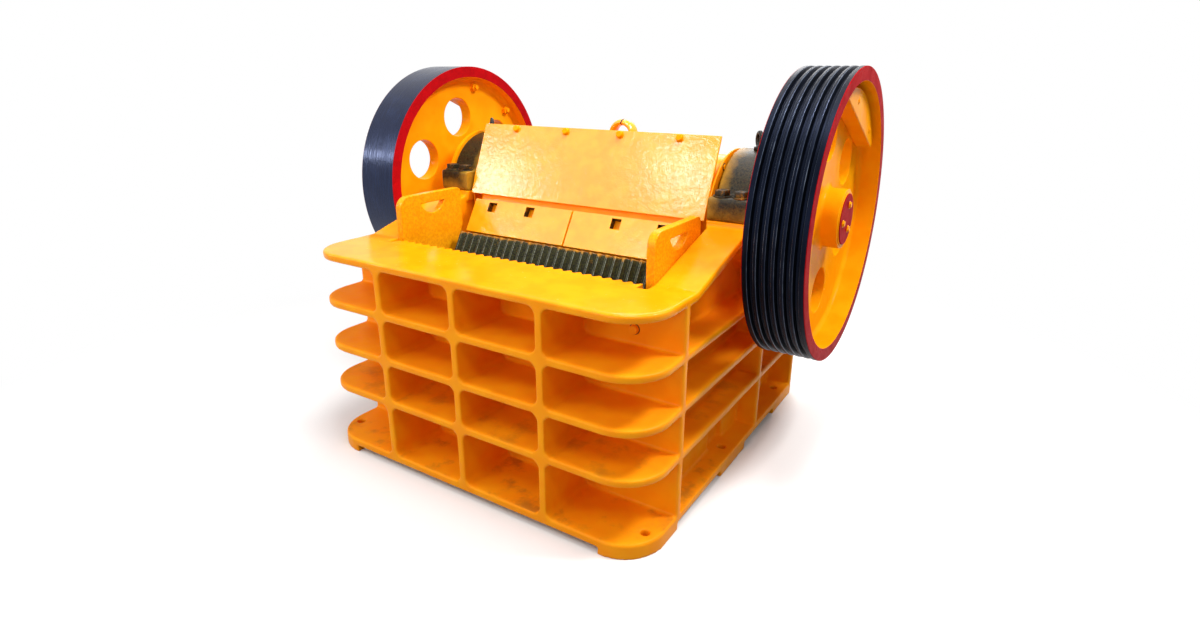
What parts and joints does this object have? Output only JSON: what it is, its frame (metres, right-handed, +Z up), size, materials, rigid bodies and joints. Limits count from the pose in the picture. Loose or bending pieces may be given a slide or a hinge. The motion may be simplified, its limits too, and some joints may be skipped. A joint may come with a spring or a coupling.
{
  "type": "jaw crusher",
  "caption": "Ribbed box frame with a toothed feed mouth, a swing jaw on an eccentric shaft, a plain flywheel and a grooved belt pulley.",
  "frame": {"origin": "centre of the anchor bolt pattern, on the floor under the foot pads", "axes": "+Z up; +X along the shaft towards the belt pulley; +Y from the feed side to the rear"},
  "size_m": [1.8125, 1.4005, 1.3414],
  "materials": {
    "yellow_enamel": "gloss",
    "housing_paint": "satin",
    "wheel_paint": "gloss",
    "red_enamel": "gloss",
    "manganese_steel": "cast",
    "dark_steel": "turned"
  },
  "bodies": {
    "frame": {"base_flange_front": "yellow_enamel", "base_flange_right": "yellow_enamel", "base_flange_left": "yellow_enamel", "foot_pads": "yellow_enamel", "front_wall": "yellow_enamel", "rear_wall": "yellow_enamel", "side_wall_right": "yellow_enamel", "side_wall_left": "yellow_enamel", "front_shelves": "yellow_enamel", "top_flange_front": "yellow_enamel", "top_flange_right": "yellow_enamel", "top_flange_left": "yellow_enamel", "top_flange_rear": "yellow_enamel", "front_ribs": "yellow_enamel", "side_shelves_right": "yellow_enamel", "side_shelves_left": "yellow_enamel", "side_ribs_right": "yellow_enamel", "side_ribs_left": "yellow_enamel", "bearing_seat_right": "yellow_enamel", "bearing_seat_left": "yellow_enamel", "bearing_covers": "yellow_enamel", "fixed_jaw_plate": "yellow_enamel", "cheek_plate_right": "yellow_enamel", "cheek_plate_left": "yellow_enamel", "toggle_beam": "yellow_enamel", "toggle_block": "yellow_enamel", "bearing_cap_right": "housing_paint", "bearing_cap_left": "housing_paint", "tension_rods": "dark_steel", "tension_springs": "dark_steel"},
    "rotor": {"eccentric_shaft": "dark_steel", "flywheel_rim": "wheel_paint", "flywheel_web": "yellow_enamel", "pulley_rim": "wheel_paint", "pulley_web": "yellow_enamel", "counterweights": "yellow_enamel", "end_discs": "red_enamel"},
    "jaw": {"swing_jaw": "yellow_enamel", "moving_jaw_plate": "manganese_steel", "clamp_bar_right": "yellow_enamel", "clamp_bar_left": "yellow_enamel", "guard_plate": "yellow_enamel", "guard_brackets": "yellow_enamel", "lifting_eye": "yellow_enamel", "toggle_plate": "dark_steel"}
  },
  "joints": [
    {"name": "shaft_spin", "type": "hinge", "parent": "frame", "child": "rotor", "pos_m": [0, 0.249, 0.8664], "axis": [1, 0, 0], "continuous": true},
    {"name": "jaw_swing", "type": "hinge", "parent": "rotor", "child": "jaw", "pos_m": [0, 0.24509, 0.85719], "axis": [1, 0, 0], "continuous": true}
  ],
  "couplings": [
    {"joint": "jaw_swing", "follows": "shaft_spin", "ratio": -1}
  ]
}
